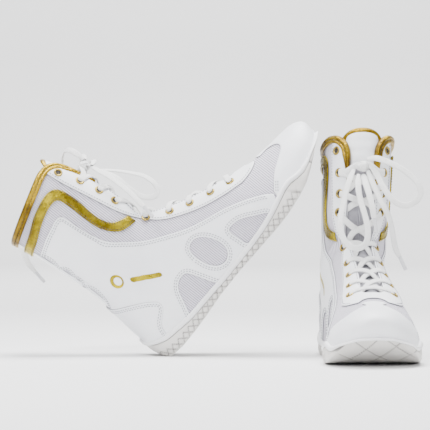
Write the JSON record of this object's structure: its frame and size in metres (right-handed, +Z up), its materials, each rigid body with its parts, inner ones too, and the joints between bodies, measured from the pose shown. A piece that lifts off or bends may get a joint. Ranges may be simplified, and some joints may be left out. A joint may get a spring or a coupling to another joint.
{
  "type": "boxing boots",
  "caption": "Pair of white high-top boxing boots with ribbed mesh, gold trim, brass eyelets and flat laces tied in bows; one boot stands and the other leans on it.",
  "frame": {"origin": "on the floor under the middle of the pair, measured without the free laces", "axes": "+X from the leaning right boot towards the standing left boot; +Y to the back, away from the standing boot's toe; +Z up from the floor"},
  "size_m": [0.4344, 0.2958, 0.2494],
  "materials": {
    "outsole_rubber": "matte, warm off-white, grooved",
    "rim_rubber": "satin, white",
    "board": "matte",
    "lining_cloth": "matte, woven",
    "rib_mesh": "matte, fine ribbed mesh",
    "white_leather": "smooth, slight sheen",
    "gold_leather": "metallic sheen",
    "binding": "metallic sheen, folded tape",
    "brass_eyelet": "polished",
    "lace": "matte, flat woven",
    "aglet": "gloss"
  },
  "bodies": {
    "left_foot": {"left_outsole": "outsole_rubber", "left_sole_rim": "rim_rubber", "left_insole_board": "board", "left_footbed": "lining_cloth", "left_foot_lining": "lining_cloth", "left_foot_mesh": "rib_mesh", "left_side_panels": "white_leather", "left_heel_counter": "white_leather", "left_foot_eyestay": "white_leather", "left_foot_eyelets": "brass_eyelet", "left_tongue": "white_leather", "left_lace_rows": "lace", "left_ankle_flex_zone": "rib_mesh", "left_toe_flex_zone": "white_leather"},
    "left_toe": {"left_toe_sole": "rim_rubber", "left_toe_cap": "white_leather", "left_toe_lining": "lining_cloth"},
    "left_shaft": {"left_shaft_lining": "lining_cloth", "left_shaft_mesh": "rib_mesh", "left_shaft_panels": "white_leather", "left_gold_stripes": "gold_leather", "left_shaft_eyestay": "white_leather", "left_collar_binding": "binding", "left_shaft_eyelets": "brass_eyelet", "left_lace_knot": "lace", "left_lace_loop_a": "lace", "left_lace_loop_b": "lace", "left_lace_end_a": "lace", "left_lace_end_b": "lace", "left_aglets": "aglet"},
    "right_foot": {"right_outsole": "outsole_rubber", "right_sole_rim": "rim_rubber", "right_insole_board": "board", "right_footbed": "lining_cloth", "right_foot_lining": "lining_cloth", "right_foot_mesh": "rib_mesh", "right_side_panels": "white_leather", "right_heel_counter": "white_leather", "right_foot_eyestay": "white_leather", "right_foot_eyelets": "brass_eyelet", "right_tongue": "white_leather", "right_lace_rows": "lace", "right_ankle_flex_zone": "rib_mesh", "right_toe_flex_zone": "white_leather"},
    "right_toe": {"right_toe_sole": "rim_rubber", "right_toe_cap": "white_leather", "right_toe_lining": "lining_cloth"},
    "right_shaft": {"right_shaft_lining": "lining_cloth", "right_shaft_mesh": "rib_mesh", "right_shaft_panels": "white_leather", "right_gold_stripes": "gold_leather", "right_shaft_eyestay": "white_leather", "right_collar_binding": "binding", "right_shaft_eyelets": "brass_eyelet", "right_lace_knot": "lace", "right_lace_loop_a": "lace", "right_lace_loop_b": "lace", "right_lace_end_a": "lace", "right_lace_end_b": "lace", "right_aglets": "aglet"}
  },
  "joints": [
    {"name": "left_toe_flex", "type": "hinge", "parent": "left_foot", "child": "left_toe", "pos_m": [0.16302, -0.05288, 0.003], "axis": [-0.9962, -0.0872, 0], "range_deg": [0, 25], "stiffness_Nm_per_rad": 1.8, "deforming": ["left_toe_flex_zone"]},
    {"name": "left_ankle_flex", "type": "hinge", "parent": "left_foot", "child": "left_shaft", "pos_m": [0.1516, 0.07762, 0.118], "axis": [0.9962, 0.0872, 0], "range_deg": [-12, 10], "stiffness_Nm_per_rad": 2.5, "deforming": ["left_ankle_flex_zone", "left_tongue", "left_lace_rows"]},
    {"name": "right_boot_away", "type": "slide", "parent": "left_foot", "child": "right_foot", "axis": [-1, 0, 0], "range_m": [0, 0.15]},
    {"name": "right_toe_flex", "type": "hinge", "parent": "right_foot", "child": "right_toe", "pos_m": [0.07613, 0.09132, 0.14695], "axis": [0, -1, 0], "range_deg": [0, 25], "stiffness_Nm_per_rad": 1.8, "deforming": ["right_toe_flex_zone"]},
    {"name": "right_ankle_flex", "type": "hinge", "parent": "right_foot", "child": "right_shaft", "pos_m": [-0.09542, 0.09132, 0.11602], "axis": [0, 1, 0], "range_deg": [-12, 10], "stiffness_Nm_per_rad": 2.5, "deforming": ["right_ankle_flex_zone", "right_tongue", "right_lace_rows"]}
  ]
}
